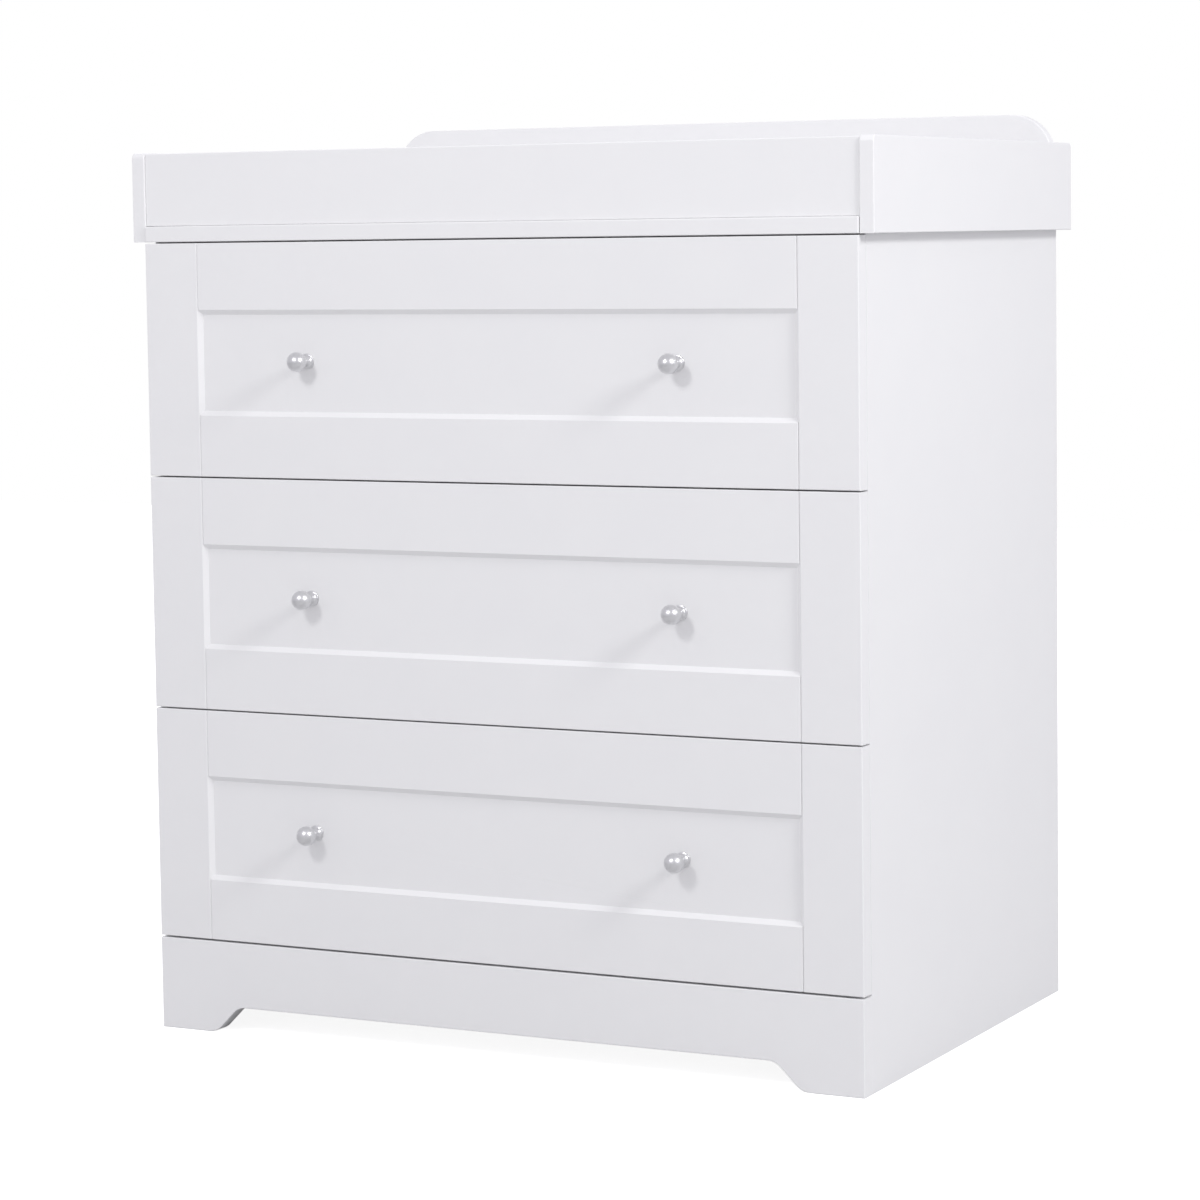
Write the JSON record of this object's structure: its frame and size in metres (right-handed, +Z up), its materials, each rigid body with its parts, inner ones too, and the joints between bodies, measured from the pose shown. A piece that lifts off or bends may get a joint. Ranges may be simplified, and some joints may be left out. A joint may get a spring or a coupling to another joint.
{
  "type": "changing table",
  "caption": "Painted wooden chest with full-width framed drawers on telescopic runners, ball knobs, a bracket-foot plinth and a lift-off changing tray with a raised back board.",
  "frame": {"origin": "bottom centre of the bounding box, on the floor", "axes": "+Z up, -Y to the front where the drawers open, +X to the right seen from the front"},
  "size_m": [0.831, 0.573, 0.947],
  "materials": {
    "chest_paint": "satin white lacquer on board",
    "tray_paint": "satin white lacquer on board",
    "front_paint": "satin white lacquer on board",
    "drawer_box": "matt white foil on board",
    "hardboard": "white lacquered thin fibreboard",
    "knob_metal": "satin silver plating",
    "runner_steel": "bright zinc plated steel",
    "zinc_fittings": "zinc plated",
    "dowel_beech": "bare beech"
  },
  "bodies": {
    "cabinet": {"back_panel": "hardboard", "bottom_panel": "chest_paint", "chest_cam_bolts": "zinc_fittings", "chest_cam_locks": "zinc_fittings", "chest_dowels": "dowel_beech", "plinth_front": "chest_paint", "plinth_rear_rail": "chest_paint", "runner_outer_members_left": "runner_steel", "runner_outer_members_right": "runner_steel", "side_panel_left": "chest_paint", "side_panel_right": "chest_paint", "top_front_rail": "chest_paint", "top_panel": "chest_paint", "top_rear_rail": "chest_paint"},
    "changer_tray": {"changer_back_board": "tray_paint", "changer_dowels": "dowel_beech", "changer_front_board": "tray_paint", "changer_locating_plates": "zinc_fittings", "changer_plate_screws": "zinc_fittings", "changer_side_left": "tray_paint", "changer_side_right": "tray_paint"},
    "drawer_1": {"drawer_1_box_back": "drawer_box", "drawer_1_box_floor": "hardboard", "drawer_1_box_side_left": "drawer_box", "drawer_1_box_side_right": "drawer_box", "drawer_1_front_panel": "front_paint", "drawer_1_knob_screws": "zinc_fittings", "drawer_1_knobs": "knob_metal", "drawer_1_rail_bottom": "front_paint", "drawer_1_rail_top": "front_paint", "drawer_1_runner_inner_members": "runner_steel", "drawer_1_stile_left": "front_paint", "drawer_1_stile_right": "front_paint"},
    "runner_middle_1": {"drawer_1_runner_middle_members": "runner_steel"},
    "drawer_2": {"drawer_2_box_back": "drawer_box", "drawer_2_box_floor": "hardboard", "drawer_2_box_side_left": "drawer_box", "drawer_2_box_side_right": "drawer_box", "drawer_2_front_panel": "front_paint", "drawer_2_knob_screws": "zinc_fittings", "drawer_2_knobs": "knob_metal", "drawer_2_rail_bottom": "front_paint", "drawer_2_rail_top": "front_paint", "drawer_2_runner_inner_members": "runner_steel", "drawer_2_stile_left": "front_paint", "drawer_2_stile_right": "front_paint"},
    "runner_middle_2": {"drawer_2_runner_middle_members": "runner_steel"},
    "drawer_3": {"drawer_3_box_back": "drawer_box", "drawer_3_box_floor": "hardboard", "drawer_3_box_side_left": "drawer_box", "drawer_3_box_side_right": "drawer_box", "drawer_3_front_panel": "front_paint", "drawer_3_knob_screws": "zinc_fittings", "drawer_3_knobs": "knob_metal", "drawer_3_rail_bottom": "front_paint", "drawer_3_rail_top": "front_paint", "drawer_3_runner_inner_members": "runner_steel", "drawer_3_stile_left": "front_paint", "drawer_3_stile_right": "front_paint"},
    "runner_middle_3": {"drawer_3_runner_middle_members": "runner_steel"}
  },
  "joints": [
    {"name": "changer_lift", "type": "slide", "parent": "cabinet", "child": "changer_tray", "axis": [0, 0, 1], "range_m": [0, 0.15]},
    {"name": "drawer_1_slide", "type": "slide", "parent": "cabinet", "child": "drawer_1", "axis": [0, -1, 0], "range_m": [0, 0.39]},
    {"name": "runner_middle_1_slide", "type": "slide", "parent": "cabinet", "child": "runner_middle_1", "axis": [0, -1, 0], "range_m": [0, 0.195]},
    {"name": "drawer_2_slide", "type": "slide", "parent": "cabinet", "child": "drawer_2", "axis": [0, -1, 0], "range_m": [0, 0.39]},
    {"name": "runner_middle_2_slide", "type": "slide", "parent": "cabinet", "child": "runner_middle_2", "axis": [0, -1, 0], "range_m": [0, 0.195]},
    {"name": "drawer_3_slide", "type": "slide", "parent": "cabinet", "child": "drawer_3", "axis": [0, -1, 0], "range_m": [0, 0.39]},
    {"name": "runner_middle_3_slide", "type": "slide", "parent": "cabinet", "child": "runner_middle_3", "axis": [0, -1, 0], "range_m": [0, 0.195]}
  ],
  "couplings": [
    {"joint": "runner_middle_1_slide", "follows": "drawer_1_slide", "ratio": 0.5},
    {"joint": "runner_middle_2_slide", "follows": "drawer_2_slide", "ratio": 0.5},
    {"joint": "runner_middle_3_slide", "follows": "drawer_3_slide", "ratio": 0.5}
  ]
}
